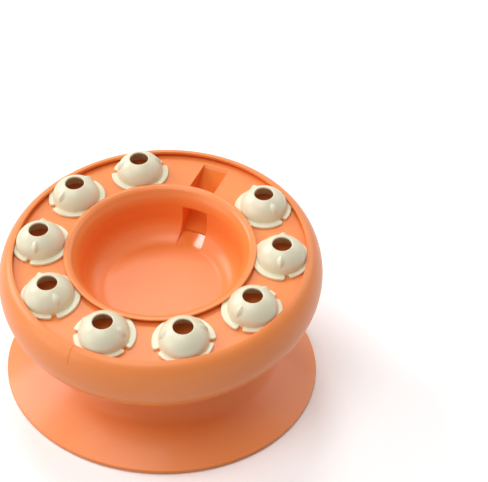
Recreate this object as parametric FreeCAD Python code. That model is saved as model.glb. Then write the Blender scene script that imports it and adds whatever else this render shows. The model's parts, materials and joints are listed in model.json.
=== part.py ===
import FreeCAD, Part
import math
import os

Vec = FreeCAD.Vector

# Sizes are in millimetres and angles in degrees.

overcut = 1.0               # cuts run this far past the faces that they open
same = 1e-6                 # lengths this close are the same

# The tray is a hollow barrel whose top plane leans forward. Its own frame has
# the origin in the middle of the lip's plane and +Z out of the bowl's mouth.
tray_r = 150.0              # at the widest line
crown_width = 15.5          # from the lip's edge out to the widest line
crown_drop = 28.5           # from the lip down to the widest line
belly_width = 46.0          # from the widest line in to the flat underside
parting_drop = 58.0         # where the upper and lower shells part
tray_tilt = 9.0
lip_height = 150.3          # middle of the lip's plane above the floor
lip_forward = 13.8          # middle of the lip's plane ahead of the base's axis
shell_wall = 2.6
tongue_rise = 4.0           # lower shell's tongue inside the upper shell
tongue_wall = 1.8
tongue_gap = 0.5
lip_depth = 2.8             # thickness of the lip at its inner edge
lip_edge_round = 0.8
lip_undercut = 4.1          # how far the track reaches out under the lip
seam_azimuth = 263.0        # fine closing seam on the front of the barrel
seam_width = 0.35
seam_cut = 0.35
seam_reach = 14.0

# The track is the annular floor between the lip and the bowl.
track_depth = 6.0           # floor below the lip's plane
deck_wall = 2.4
deck_edge_gap = 0.4         # deck's edge to the inside of the barrel
skirt_in = 19.1             # deck's skirt inside the lip's edge
skirt_wall = 2.4
arch_gap = 3.0              # skirt's arch to the chute and its tabs

# The domes slide round the track.
station_count = 10          # one station stays empty over the slot
dome_r = 22.55
dome_gap = 0.4              # body to the lip and to the bowl's rim
dome_lift = 0.3             # running gap over the track
dome_top = 20.2             # plane of the hole over the track
dome_wall = 2.0
hole_r = 8.9
hole_edge_round = 0.5
flange_thick = 2.4
flange_round = 0.9
flange_gap = 0.5            # flange to the walls of the track
notch_azimuth = 75.0        # both sides of the outward direction
notch_width = 4.6
nub_r = 2.2                 # grip on each side of a dome
nub_length = 6.0
nub_height = 14.2
nub_sink = 0.55

# The bowl lifts out of the middle of the tray.
bowl_depth = 51.5
bowl_wall = 2.2
bowl_rim_drop = 0.7         # rim's top below the lip's plane
bowl_rim_thick = 2.0
bowl_rim_round = 0.9
crest_in = 5.6              # shoulder's upper corner inside the rim's edge
crest_round = 6.0
shoulder_in = 12.7          # shoulder's lower corner inside the rim's edge
shoulder_drop = 11.5
shoulder_round = 12.0
foot_in = 14.7              # foot of the wall inside the rim's edge
foot_round = 22.0           # long curve from the wall into the floor
seat_in = 5.5               # outer face of the seat inside the rim's edge
spigot_in = 6.75            # face that drops into the deck
socket_gap = 0.25
bowl_rest_r = 42.4          # ring in the tray that carries the bowl's floor
bowl_rest_gap = 0.3
bowl_room = 16.7            # from the bowl's underside to the tray's

# The slot, the chute and the window lead food from the track to the bowl.
slot_width = 26.0
slot_start_in = 2.6         # slot starts this far inside the rim's edge
slot_reach = 16.5           # slot ends this far outside the domes' circle
chute_wall = 2.0
chute_gap = 0.5             # to the outside of the bowl
chute_rise = 2.4            # lower end of the ramp above the bowl's floor
window_drop = 18.0          # window's head below the lip's plane
facet_rise = 1.8            # bowl's own end of the ramp, at the wall
facet_reach = 20.5          # from the foot of the wall to the facet's tip
tab_length = 12.0
tab_width = 9.0
tab_thick = 2.6
tab_gap = 1.0               # outer tabs to the deck's skirt

# The base is a flared foot with a wedge collar that gives the tilt.
base_r = 152.5
base_edge = 3.7             # upright edge at the bottom
base_edge_round = 1.0
base_edge_wall = 5.0        # thickness of that edge
flare_angle = 30.0          # slope of the flare above the edge
foot_show = 0.8             # how far the feet stand out
neck_r = 99.0
neck_front = 9.7            # collar's height at the front
flange_plate = 3.0
neck_flange_in = 13.0       # lower flange's width
top_flange_in = 25.0        # upper flange's width
rib_count = 12
rib_thick = 2.0
rib_depth = 8.0

# The ring closes the base from below and carries the feet.
ring_thick = 3.0
ring_width = 25.0
ring_gap = 0.2
foot_count = 6
foot_orbit_in = 13.5        # inside the base's edge
foot_r = 7.0
foot_sink = 1.0
foot_stem_r = 2.2
foot_bulb_r = 2.9
foot_bulb = 1.1
foot_gap = 0.1

# One size of screw holds the shells together.
screw_count = 6
screw_r = 1.5
screw_gap = 0.1
screw_hole_gap = 0.3
screw_head_r = 3.0
screw_head = 1.6
screw_slot_r = 1.8          # arm of the cross in the head
screw_slot_width = 0.7
screw_recess = 0.7
screw_end_gap = 1.0         # screw's point to the bottom of its hole
screw_end_wall = 2.0        # plastic beyond that hole
boss_r = 4.0
boss_wall = 1.5
boss_touch = 0.1
tray_boss_in = 8.5          # tray's bosses inside the lip's edge
tray_boss_drop = 14.0       # their tops below the lip's plane
tray_screw = 14.0
collar_boss_in = 19.0       # tray's bosses for the collar, inside the neck's outer face
collar_screw = 9.0
neck_screw_in = 8.0         # inside the neck's outer face
neck_screw = 9.0
ring_screw_in = 20.5        # inside the base's edge
ring_screw = 7.0
web_thick = 2.0

# What follows from these sizes
lip_r = tray_r - crown_width
tray_foot_r = tray_r - belly_width
collar_boss_orbit = neck_r - collar_boss_in
underside = bowl_depth + bowl_wall + bowl_room
belly_drop = underside - crown_drop
groove_r = lip_r + lip_undercut
bowl_rim_r = lip_r - 2 * (dome_r + dome_gap)
orbit_r = (lip_r + bowl_rim_r) / 2
deck_drop = track_depth + deck_wall
seat_r = bowl_rim_r - seat_in
socket_r = bowl_rim_r - spigot_in + socket_gap
flange_in_r = orbit_r - seat_r - flange_gap
flange_out_r = groove_r - orbit_r - flange_gap
wall_foot_r = bowl_rim_r - foot_in
bowl_foot = (wall_foot_r, -bowl_depth)
bowl_shoulder = (bowl_rim_r - shoulder_in, -shoulder_drop)
bowl_crest = (bowl_rim_r - crest_in, -bowl_rim_drop)
slot_azimuth = 90.0         # slot, chute and window lie on the +Y side
station_step = 360.0 / station_count
dome_count = station_count - 1
between_screws = 180.0 / screw_count
between_feet = 180.0 / foot_count
between_ribs = 180.0 / rib_count

lean = math.radians(tray_tilt)
tray_frame = FreeCAD.Placement(
    Vec(0, -lip_forward, lip_height), FreeCAD.Rotation(Vec(1, 0, 0), tray_tilt))
underside_mid = tray_frame.multVec(Vec(0, 0, -underside))
collar_front_z = underside_mid.z - (neck_r + underside_mid.y) * math.tan(lean)
waist_z = collar_front_z - neck_front
edge_top = foot_show + base_edge
ring_top = foot_show + ring_thick

# The ramp is one straight line from the track down to the bowl's wall.
ramp_in_y = wall_foot_r + bowl_wall + chute_gap
ramp_in_z = -bowl_depth + chute_rise
ramp_out_y = orbit_r + slot_reach
ramp_slope = (-track_depth - ramp_in_z) / (ramp_out_y - ramp_in_y)
ramp_thick = chute_wall * math.hypot(1, ramp_slope)

# The base's middle stands off the origin, so that the origin is in the middle
# of the floor under the whole object, which the tray overhangs at the front.
front_reach = (lip_forward + lip_r * math.cos(lean) - crown_drop * math.sin(lean)
               + math.hypot(crown_width * math.cos(lean), crown_drop * math.sin(lean)))
base_y = (front_reach - base_r) / 2


def ramp_z(y):
    return ramp_in_z + (y - ramp_in_y) * ramp_slope


def ramp_y(z):
    return ramp_in_y + (z - ramp_in_z) / ramp_slope


def at(r, z):
    return Vec(r, 0, z)


def line(start, end):
    return Part.LineSegment(start, end).toShape()


def corner_path(corners, closed=True):
    """Straight runs through corners (r, z), or rounded ones (r, z, radius)."""
    points = [at(c[0], c[1]) for c in corners]
    count = len(corners)
    edges = []
    joints = []
    for i, corner in enumerate(corners):
        if len(corner) < 3 or corner[2] == 0:
            joints.append((points[i], points[i]))
            continue
        back = (points[i - 1] - points[i]).normalize()
        ahead = (points[(i + 1) % count] - points[i]).normalize()
        half = back.getAngle(ahead) / 2
        run = corner[2] / math.tan(half)
        middle = (back + ahead).normalize()
        heart = points[i] + middle * (corner[2] / math.sin(half))
        start = points[i] + back * run
        end = points[i] + ahead * run
        edges.append(Part.Arc(start, heart - middle * corner[2], end).toShape())
        joints.append((start, end))
    for i in range(count if closed else count - 1):
        start = joints[i][1]
        end = joints[(i + 1) % count][0]
        if (end - start).Length > same:
            edges.append(line(start, end))
    return edges


def ellipse_arc(centre, across, up, start, end):
    """Part of an ellipse; its angles run from +r towards +z."""
    if across >= up:
        curve = Part.Ellipse(centre + at(across, 0), centre + at(0, up), centre)
        low, high = start, end
    else:
        curve = Part.Ellipse(centre + at(0, up), centre + at(across, 0), centre)
        low, high = 90 - end, 90 - start
    return Part.ArcOfEllipse(curve, math.radians(low), math.radians(high)).toShape()


def turned(edges, angle=360.0):
    wire = Part.Wire(Part.__sortEdges__(edges))
    return Part.Face(wire).revolve(Vec(0, 0, 0), Vec(0, 0, 1), angle)


def rod(r, low, high, x=0.0, y=0.0):
    return Part.makeCylinder(r, high - low, Vec(x, y, low))


def tube(outer, inner, low, high):
    return rod(outer, low, high).cut(rod(inner, low - overcut, high + overcut))


def box(x_range, y_range, z_range):
    size = [pair[1] - pair[0] for pair in (x_range, y_range, z_range)]
    return Part.makeBox(size[0], size[1], size[2], Vec(x_range[0], y_range[0], z_range[0]))


def side_prism(outline, half_width):
    """A side outline of (y, z) points, as thick as the width across X."""
    points = [Vec(-half_width, y, z) for y, z in outline]
    face = Part.Face(Part.makePolygon(points + points[:1]))
    return face.extrude(Vec(2 * half_width, 0, 0))


def spun(shape, azimuth):
    copy = shape.copy()
    copy.rotate(Vec(0, 0, 0), Vec(0, 0, 1), azimuth)
    return copy


def ring_of(shape, count, first):
    return [spun(shape, first + 360.0 * i / count) for i in range(count)]


def in_tray(shape):
    copy = shape.copy()
    copy.Placement = tray_frame.multiply(copy.Placement)
    return copy


def write(name, shape):
    copy = shape.copy()
    copy.translate(Vec(0, base_y, 0))
    copy.exportStep("parts/" + name + ".step")


def belly_turn(drop, inset):
    """Angle on the belly's curve at a depth below the lip."""
    return math.degrees(math.asin((drop - crown_drop) / (belly_drop - inset)))


def belly_r(drop, inset):
    turn = math.radians(belly_turn(drop, inset))
    return tray_foot_r + (belly_width - inset) * math.cos(turn)


def barrel_solid():
    """The tray's whole outside, filled."""
    crown = ellipse_arc(at(lip_r, -crown_drop), crown_width, crown_drop, 0, 90)
    belly = ellipse_arc(at(tray_foot_r, -crown_drop), belly_width, belly_drop, -90, 0)
    closing = corner_path([(lip_r, 0), (0, 0), (0, -underside), (tray_foot_r, -underside)], False)
    return turned([crown, belly] + closing)


def rim_shell(barrel):
    """Upper half of the barrel: the rounded lip, its undercut and the outer wall."""
    crown_mid = at(lip_r, -crown_drop)
    belly_mid = at(tray_foot_r, -crown_drop)
    inner_up = crown_drop - shell_wall
    deck_turn = math.degrees(math.asin((crown_drop - track_depth) / inner_up))
    seat_out = lip_r + (crown_width - shell_wall) * math.cos(math.radians(deck_turn))
    outer_foot = belly_r(parting_drop, 0)
    inner_foot = belly_r(parting_drop, shell_wall)
    shell = turned([
        ellipse_arc(crown_mid, crown_width, crown_drop, 0, 90),
        ellipse_arc(belly_mid, belly_width, belly_drop, -belly_turn(parting_drop, 0), 0),
        line(at(outer_foot, -parting_drop), at(inner_foot, -parting_drop)),
        ellipse_arc(belly_mid, belly_width - shell_wall, belly_drop - shell_wall,
                    -belly_turn(parting_drop, shell_wall), 0),
        ellipse_arc(crown_mid, crown_width - shell_wall, inner_up, 0, deck_turn),
    ] + corner_path([(seat_out, -track_depth), (groove_r, -track_depth),
                     (groove_r, -lip_depth), (lip_r, -lip_depth), (lip_r, 0)], False))
    lip_edge = [edge for edge in shell.Edges
                if abs(edge.BoundBox.ZMin) < same and abs(edge.BoundBox.ZMax) < same]
    shell = shell.makeFillet(lip_edge_round, lip_edge)
    for azimuth in range(0, 360, 360 // screw_count):
        shell = shell.fuse(tray_boss(barrel, azimuth))
    pilot = rod(screw_r + screw_gap, -parting_drop - overcut, -parting_drop + tray_screw,
                tray_boss_orbit())
    shell = shell.cut(Part.makeCompound(ring_of(pilot, screw_count, 0)))
    seam = box((tray_r - crown_width, tray_r + overcut), (-seam_width / 2, seam_width / 2),
               (-seam_reach, -lip_edge_round))
    skin = barrel.cut(barrel_inset())
    return shell.cut(spun(seam, seam_azimuth).common(skin)).removeSplitter()


def barrel_inset():
    """The barrel drawn in by the depth of the seam."""
    crown = ellipse_arc(at(lip_r, -crown_drop), crown_width - seam_cut, crown_drop - seam_cut, 0, 90)
    foot = [(tray_r - seam_cut, -crown_drop), (tray_r - seam_cut, -underside), (0, -underside),
            (0, -seam_cut), (lip_r, -seam_cut)]
    return turned([crown] + corner_path(foot, False))


def tray_boss_orbit():
    return lip_r - tray_boss_in


def tray_boss(barrel, azimuth):
    """A screw boss that hangs in the barrel, with a web to the wall."""
    orbit = tray_boss_orbit()
    boss = rod(boss_r, -parting_drop, -tray_boss_drop, orbit)
    web = box((orbit, tray_r), (-web_thick / 2, web_thick / 2),
              (-parting_drop + tongue_rise + tongue_gap, -tray_boss_drop))
    return spun(boss.fuse(web.common(barrel)), azimuth)


def under_shell(barrel):
    """Lower half of the barrel, with the rests for the deck and the bowl."""
    belly_mid = at(tray_foot_r, -crown_drop)
    turn_out = belly_turn(parting_drop, 0)
    turn_in = belly_turn(parting_drop, shell_wall)
    outer_top = belly_r(parting_drop, 0)
    inner_top = belly_r(parting_drop, shell_wall)
    floor = -underside + shell_wall
    shell = turned([
        ellipse_arc(belly_mid, belly_width, belly_drop, -90, -turn_out),
        ellipse_arc(belly_mid, belly_width - shell_wall, belly_drop - shell_wall, -90, -turn_in),
        line(at(outer_top, -parting_drop), at(inner_top, -parting_drop)),
    ] + corner_path([(tray_foot_r, -underside), (0, -underside), (0, floor),
                     (tray_foot_r, floor)], False))
    tongue_r = inner_top - tongue_gap
    tongue = tube(tongue_r, tongue_r - tongue_wall,
                  -parting_drop - tongue_rise, -parting_drop + tongue_rise)
    skirt_r = lip_r - skirt_in
    ledge = tube(skirt_r + skirt_wall / 2, skirt_r - skirt_wall * 3 / 2, -underside, -parting_drop)
    bowl_under = -bowl_depth - bowl_wall - bowl_rest_gap
    rest = tube(bowl_rest_r, bowl_rest_r - shell_wall, -underside, bowl_under)
    orbit = tray_boss_orbit()
    pilot_top = -underside + collar_screw
    well_r = screw_head_r + screw_hole_gap
    boss = rod(well_r + boss_wall, -underside, -parting_drop - boss_touch, orbit)
    post = rod(boss_r, -underside, pilot_top + screw_end_wall, collar_boss_orbit)
    extras = ([tongue, ledge, rest] + ring_of(boss, screw_count, 0)
              + ring_of(post, screw_count, between_screws))
    shell = shell.fuse([extra.common(barrel) for extra in extras])
    well = rod(well_r, -underside - overcut, tray_head_z(), orbit)
    shank_hole = rod(screw_r + screw_hole_gap, -underside - overcut, -parting_drop + overcut, orbit)
    pilot = rod(screw_r + screw_gap, -underside - overcut, pilot_top, collar_boss_orbit)
    holes = (ring_of(well, screw_count, 0) + ring_of(shank_hole, screw_count, 0)
             + ring_of(pilot, screw_count, between_screws))
    return shell.cut(Part.makeCompound(holes)).removeSplitter()


def tray_head_z():
    """Plane on which the heads of the tray's screws seat."""
    return -parting_drop - flange_plate


def track_deck():
    """Annular floor of the track with the slot, and the skirt that it stands on."""
    edge_turn = math.asin((crown_drop - track_depth) / (crown_drop - shell_wall))
    edge_r = lip_r + (crown_width - shell_wall) * math.cos(edge_turn) - deck_edge_gap
    deck = tube(edge_r, socket_r, -deck_drop, -track_depth)
    skirt_r = lip_r - skirt_in
    deck = deck.fuse(tube(skirt_r, skirt_r - skirt_wall, -parting_drop, -deck_drop))
    slot_start = bowl_rim_r - slot_start_in
    half = slot_width / 2
    top = -track_depth + overcut
    low = -deck_drop - overcut
    slot = side_prism([(slot_start, top), (ramp_y(top), top), (ramp_y(low), low),
                       (slot_start, low)], half)
    arch_half = half + chute_wall + tab_width + arch_gap
    arch = box((-arch_half, arch_half), (skirt_tab_y(), skirt_r + skirt_wall),
               (ramp_z(skirt_r - skirt_wall) - ramp_thick - arch_gap, -deck_drop))
    screw_tops = [rod(screw_r + screw_gap, low, -track_depth - screw_recess, x, y)
                  for x, y in tab_spots()]
    return deck.cut(Part.makeCompound([slot, arch] + screw_tops)).removeSplitter()


def tab_spots():
    """Places of the chute's screws, beside the slot."""
    x = slot_width / 2 + chute_wall + tab_width / 2
    near = bowl_rim_r
    far = skirt_tab_y()
    return [(side * x, y) for side in (-1, 1) for y in (near, far)]


def skirt_tab_y():
    return lip_r - skirt_in - skirt_wall - tab_gap - tab_length / 2


def chute():
    """Trough under the slot: a ramp between two cheeks, with four screw tabs."""
    half = slot_width / 2
    top = -deck_drop
    body = side_prism([(wall_foot_r, top), (wall_foot_r, ramp_z(wall_foot_r) - ramp_thick),
                       (ramp_y(top + ramp_thick), top)], half + chute_wall)
    near = wall_foot_r - overcut
    over = top + overcut
    hollow = side_prism([(near, over), (near, ramp_z(near)), (ramp_y(over), over)], half)
    under_bowl = rod(ramp_in_y, -underside, -bowl_depth - bowl_wall - chute_gap)
    body = body.cut(hollow).cut(bowl_space(chute_gap)).cut(under_bowl)
    for x, y in tab_spots():
        inner_x = math.copysign(half + chute_wall / 2, x)
        outer_x = x + math.copysign(tab_width / 2, x)
        tab = box(sorted((inner_x, outer_x)), (y - tab_length / 2, y + tab_length / 2),
                  (top - tab_thick, top))
        body = body.fuse(tab)
    holes = [rod(screw_r + screw_hole_gap, top - tab_thick - overcut, over, x, y)
             for x, y in tab_spots()]
    return body.cut(Part.makeCompound(holes)).removeSplitter()


def outer_corner(below, corner, above, wall):
    """Corner of a wall's outer side, where its two stretches meet outside a corner."""
    rising = (at(*corner) - at(*below)).normalize()
    next_rising = (at(*above) - at(*corner)).normalize()
    outward = at(rising.z, -rising.x) + at(next_rising.z, -next_rising.x)
    return at(*corner) + outward * (wall / (1 + rising.dot(next_rising)))


def bowl_outside(gap, foot):
    """Corners of the bowl's outer wall below its seat, moved out by a gap."""
    shoulder = outer_corner(bowl_foot, bowl_shoulder, bowl_crest, bowl_wall)
    return [
        (bowl_rim_r - spigot_in + gap, -track_depth),
        (shoulder.x + gap, shoulder.z, shoulder_round - bowl_wall),
        (wall_foot_r + bowl_wall + gap, -bowl_depth - bowl_wall - gap, foot),
    ]


def bowl_space(gap):
    """Room for the bowl under the track, with a gap all round."""
    depth = -bowl_depth - bowl_wall - gap
    return turned(corner_path([(0, -track_depth)] + bowl_outside(gap, 0) + [(0, depth)]))


def bowl():
    """Lift-out food bowl with a window and the last stretch of the ramp."""
    rim_top = -bowl_rim_drop
    rim_under = rim_top - bowl_rim_thick
    body = turned(corner_path([
        (0, -bowl_depth),
        bowl_foot + (foot_round,),
        bowl_shoulder + (shoulder_round,),
        bowl_crest + (crest_round,),
        (bowl_rim_r, rim_top, bowl_rim_round),
        (bowl_rim_r, rim_under, bowl_rim_round),
        (seat_r, rim_under),
        (seat_r, -track_depth),
    ] + bowl_outside(0, foot_round + bowl_wall) + [(0, -bowl_depth - bowl_wall)]))
    half = slot_width / 2
    tip_y = wall_foot_r - facet_reach
    far_y = bowl_rim_r
    far_z = -bowl_depth + facet_rise * (far_y - tip_y) / (wall_foot_r - tip_y)
    near_y = wall_foot_r - foot_round - bowl_wall
    body = body.fuse(bowl_doorway(half, near_y, far_y))
    window = side_prism([(near_y, -window_drop), (far_y, -window_drop), (far_y, far_z),
                         (tip_y, -bowl_depth), (near_y, -bowl_depth)], half)
    return body.cut(window).removeSplitter()


def bowl_doorway(half, near_y, far_y):
    """Cheeks, head and sill of the window, where it cuts through the wall's long curve."""
    low = -bowl_depth - bowl_wall
    head = -window_drop + bowl_wall
    block = side_prism([(near_y, low), (far_y, low), (far_y, head), (near_y, head)], half + bowl_wall)
    inside = turned(corner_path([(0, -bowl_depth), bowl_foot + (foot_round,), bowl_shoulder,
                                 (0, -shoulder_drop)]))
    return block.common(bowl_space(0)).cut(inside)


def dome():
    """One hollow dome on the X axis, its outward side towards +X."""
    floor = dome_lift
    top_of_flange = floor + flange_thick
    crown = (dome_top - top_of_flange) / math.sqrt(1 - (hole_r / dome_r) ** 2)
    inner_r = dome_r - dome_wall
    inner_crown = crown - dome_wall
    hole_turn = math.degrees(math.acos(hole_r / dome_r))
    inner_turn = math.degrees(math.acos(hole_r / inner_r))
    inner_hole_z = top_of_flange + inner_crown * math.sin(math.radians(inner_turn))
    heart = at(0, top_of_flange)
    shell = turned([
        ellipse_arc(heart, dome_r, crown, 0, hole_turn),
        line(at(hole_r, dome_top), at(hole_r, inner_hole_z)),
        ellipse_arc(heart, inner_r, inner_crown, 0, inner_turn),
    ] + corner_path([(inner_r, top_of_flange), (inner_r, floor), (dome_r, floor),
                     (dome_r, top_of_flange)], False))
    hole_edge = [edge for edge in shell.Edges
                 if abs(edge.BoundBox.ZMin - dome_top) < same
                 and abs(edge.BoundBox.ZMax - dome_top) < same]
    shell = shell.makeFillet(hole_edge_round, hole_edge)
    notch_half = math.degrees(notch_width / 2 / flange_in_r)
    from_out = notch_azimuth - notch_half
    from_in = 180 - notch_azimuth - notch_half
    out_arc = flange_arc(flange_out_r, -from_out, 2 * from_out)
    in_arc = flange_arc(flange_in_r, 180 - from_in, 2 * from_in)
    body = shell.fuse([out_arc, in_arc] + [grip(crown, side) for side in (-1, 1)])
    hollow = inner_void(inner_r, inner_crown, top_of_flange)
    return body.cut(hollow).removeSplitter()


def inner_void(inner_r, inner_crown, top_of_flange):
    heart = at(0, top_of_flange)
    return turned([ellipse_arc(heart, inner_r, inner_crown, 0, 90)] + corner_path(
        [(inner_r, top_of_flange), (inner_r, 0), (0, 0), (0, top_of_flange + inner_crown)], False))


def flange_arc(outer_r, start, angle):
    """Stretch of the flange, with its upper edge rounded."""
    low = dome_lift
    high = dome_lift + flange_thick
    inner_r = dome_r - dome_wall / 2
    arc = turned(corner_path([(inner_r, low), (outer_r, low), (outer_r, high, flange_round),
                              (inner_r, high)]), angle)
    return spun(arc, start)


def grip(crown, side):
    """Upright rounded bump that a paw catches, on one flank of the dome."""
    top_of_flange = dome_lift + flange_thick
    rise = (nub_height - top_of_flange) / crown
    flank_r = dome_r * math.sqrt(1 - rise ** 2)
    slope = math.degrees(math.atan2(dome_r * rise, crown * math.sqrt(1 - rise ** 2)))
    bar = rod(nub_r, -nub_length / 2, nub_length / 2)
    ends = [Part.makeSphere(nub_r, Vec(0, 0, z)) for z in (-nub_length / 2, nub_length / 2)]
    nub = bar.fuse(ends)
    nub.rotate(Vec(0, 0, 0), Vec(0, 1, 0), -slope)
    nub.translate(Vec(flank_r - nub_sink, 0, nub_height))
    return spun(nub, side * 90)


def place_dome(shape, index):
    copy = shape.copy()
    copy.translate(Vec(orbit_r, 0, -track_depth))
    return in_tray(spun(copy, slot_azimuth + station_step * (index + 1)))


def screw(length):
    """Pan-head screw on the Z axis: head below the origin plane, shank above."""
    head = turned(corner_path([(0, -screw_head), (screw_head_r, -screw_head, screw_head / 2),
                               (screw_head_r, 0), (0, 0)]))
    shank = rod(screw_r, 0, length - screw_r)
    tip = Part.makeCone(screw_r, 0, screw_r, Vec(0, 0, length - screw_r))
    cross = box((-screw_slot_r, screw_slot_r), (-screw_slot_width / 2, screw_slot_width / 2),
                (-screw_head - overcut, -screw_head + screw_recess))
    cross = cross.fuse(spun(cross, 90))
    return head.fuse([shank, tip]).cut(cross).removeSplitter()


def screw_ring(length, orbit, z, first):
    one = screw(length)
    one.translate(Vec(orbit, 0, z))
    return Part.makeCompound(ring_of(one, screw_count, first))


def below_plane(depth):
    """Everything under a plane parallel to the tray's underside."""
    reach = 2 * tray_r
    top = -underside - depth
    return in_tray(box((-reach, reach), (-reach, reach), (top - reach, top)))


def tilt_collar():
    """Wedge ring between base and tray; its sloping top gives the tilt."""
    body = rod(neck_r, waist_z, lip_height).common(below_plane(0))
    inside = rod(neck_r - shell_wall, waist_z + flange_plate, lip_height)
    inside = inside.common(below_plane(flange_plate))
    full = body
    body = body.cut(inside)
    body = body.cut(rod(neck_r - top_flange_in, waist_z - overcut, lip_height))
    body = body.cut(rod(neck_r - neck_flange_in, waist_z - overcut, waist_z + flange_plate + overcut))
    orbit = neck_r - neck_screw_in
    pilot_top = waist_z + neck_screw - flange_plate
    post = rod(boss_r, waist_z, pilot_top + screw_end_wall, orbit)
    room = full.common(below_plane(flange_plate / 2))
    body = body.fuse([one.common(room) for one in ring_of(post, screw_count, 0)])
    pilot = rod(screw_r + screw_gap, waist_z - overcut, pilot_top, orbit)
    body = body.cut(Part.makeCompound(ring_of(pilot, screw_count, 0)))
    hole = rod(screw_r + screw_hole_gap, -underside - flange_plate - overcut, -underside + overcut,
               collar_boss_orbit)
    holes = in_tray(Part.makeCompound(ring_of(hole, screw_count, between_screws)))
    return body.cut(holes).removeSplitter()


def under_flare(depth):
    """Everything under the base's hollow curve, drawn in by a depth.

    The curve rises as a cone and bends up into the neck on one round. The
    round ends level with the waist, or sooner where the cone is too short.
    """
    rise = math.radians(flare_angle)
    edge_z = edge_top - depth / math.cos(rise)
    knee_z = edge_z + (base_r - neck_r + depth) * math.tan(rise)
    outer_knee_z = edge_top + (base_r - neck_r) * math.tan(rise)
    cone_length = (base_r - neck_r) / math.cos(rise)
    run = min(waist_z - outer_knee_z, cone_length - 2 * base_edge_round)
    bend = run / math.tan((math.pi / 2 - rise) / 2) + depth
    return turned(corner_path([
        (0, -base_r),
        (base_r, -base_r),
        (base_r, edge_z),
        (neck_r - depth, knee_z, bend),
        (neck_r - depth, waist_z),
        (0, waist_z),
    ]))


def base_skirt():
    """Flared foot: thin shell, top flange, ribs and screw bosses."""
    above_floor = rod(base_r + overcut, foot_show, waist_z)
    solid = under_flare(0).common(above_floor)
    edges = [edge for edge in solid.Edges
             if abs(edge.BoundBox.XMax - base_r) < same and edge.BoundBox.ZLength < same]
    solid = solid.makeFillet(base_edge_round, edges)
    room = rod(base_r - base_edge_wall, 0, waist_z - flange_plate)
    inside = under_flare(shell_wall).common(room)
    shell = solid.cut(inside)
    shell = shell.cut(rod(neck_r - neck_flange_in, 0, waist_z + overcut))
    band = inside.cut(under_flare(shell_wall + rib_depth)).common(rod(base_r, ring_top, waist_z))
    plate = box((neck_r - neck_flange_in, base_r), (-rib_thick / 2, rib_thick / 2), (ring_top, waist_z))
    ribs = [one.common(band) for one in ring_of(plate, rib_count, between_ribs)]
    boss = rod(boss_r, ring_top, waist_z, base_r - ring_screw_in)
    bosses = [one.common(solid) for one in ring_of(boss, screw_count, 0)]
    shell = shell.fuse(ribs + bosses)
    pilot = rod(screw_r + screw_gap, ring_top - overcut, ring_top + ring_screw, base_r - ring_screw_in)
    hole = rod(screw_r + screw_hole_gap, waist_z - flange_plate - overcut, waist_z + overcut,
               neck_r - neck_screw_in)
    holes = ring_of(pilot, screw_count, 0) + ring_of(hole, screw_count, 0)
    return shell.cut(Part.makeCompound(holes)).removeSplitter()


def base_ring():
    """Flat ring inside the base's edge, with recesses for feet and screws."""
    outer = base_r - base_edge_wall - ring_gap
    ring = tube(outer, outer - ring_width, foot_show, ring_top)
    foot_orbit = base_r - foot_orbit_in
    screw_orbit = base_r - ring_screw_in
    recess = rod(foot_r + foot_gap, 0, foot_show + foot_sink, foot_orbit)
    stem = rod(foot_stem_r + foot_gap, 0, ring_top + overcut, foot_orbit)
    hole = rod(screw_r + screw_hole_gap, 0, ring_top + overcut, screw_orbit)
    sink = rod(screw_head_r + screw_hole_gap, 0, ring_head_z(), screw_orbit)
    holes = (ring_of(recess, foot_count, between_feet) + ring_of(stem, foot_count, between_feet)
             + ring_of(hole, screw_count, 0) + ring_of(sink, screw_count, 0))
    return ring.cut(Part.makeCompound(holes)).removeSplitter()


def ring_head_z():
    """Plane on which the heads of the ring's screws seat."""
    return foot_show + screw_head


def foot():
    """Soft pad with a barbed stem through the ring."""
    top = foot_show + foot_sink
    body = turned(corner_path([
        (0, 0),
        (foot_r - foot_gap, 0, foot_show / 2),
        (foot_r - foot_gap, top),
        (foot_stem_r, top),
        (foot_stem_r, ring_top + foot_gap),
        (foot_bulb_r, ring_top + foot_gap),
        (foot_bulb_r, ring_top + foot_bulb, foot_bulb / 2),
        (0, ring_top + foot_bulb),
    ]))
    body.translate(Vec(base_r - foot_orbit_in, 0, 0))
    return body


os.makedirs("parts", exist_ok=True)

barrel = barrel_solid()
write("rim_shell", in_tray(rim_shell(barrel)))
write("under_shell", in_tray(under_shell(barrel)))
write("track_deck", in_tray(track_deck()))
write("chute", in_tray(chute()))
write("bowl", in_tray(bowl()))

one_dome = dome()
for index in range(dome_count):
    write("dome_%d" % (index + 1), place_dome(one_dome, index))

write("tilt_collar", tilt_collar())
write("base_skirt", base_skirt())
write("base_ring", base_ring())
one_foot = foot()
for index in range(foot_count):
    write("foot_%d" % (index + 1), spun(one_foot, between_feet + 360.0 * index / foot_count))

write("tray_screws", in_tray(screw_ring(tray_screw, tray_boss_orbit(), tray_head_z(), 0)))
write("collar_screws", in_tray(screw_ring(
    collar_screw + flange_plate - screw_end_gap, collar_boss_orbit,
    -underside - flange_plate, between_screws)))
write("neck_screws", screw_ring(
    neck_screw - screw_end_gap, neck_r - neck_screw_in, waist_z - flange_plate, 0))
write("ring_screws", screw_ring(ring_screw, base_r - ring_screw_in, ring_head_z(), 0))
chute_screw = screw(tab_thick + deck_wall - screw_recess - screw_gap)
chute_screws = []
for x, y in tab_spots():
    one = chute_screw.copy()
    one.translate(Vec(x, y, -deck_drop - tab_thick))
    chute_screws.append(one)
write("chute_screws", in_tray(Part.makeCompound(chute_screws)))
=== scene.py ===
import json
import math

import bmesh
import bpy
from mathutils import Matrix, Vector


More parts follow.
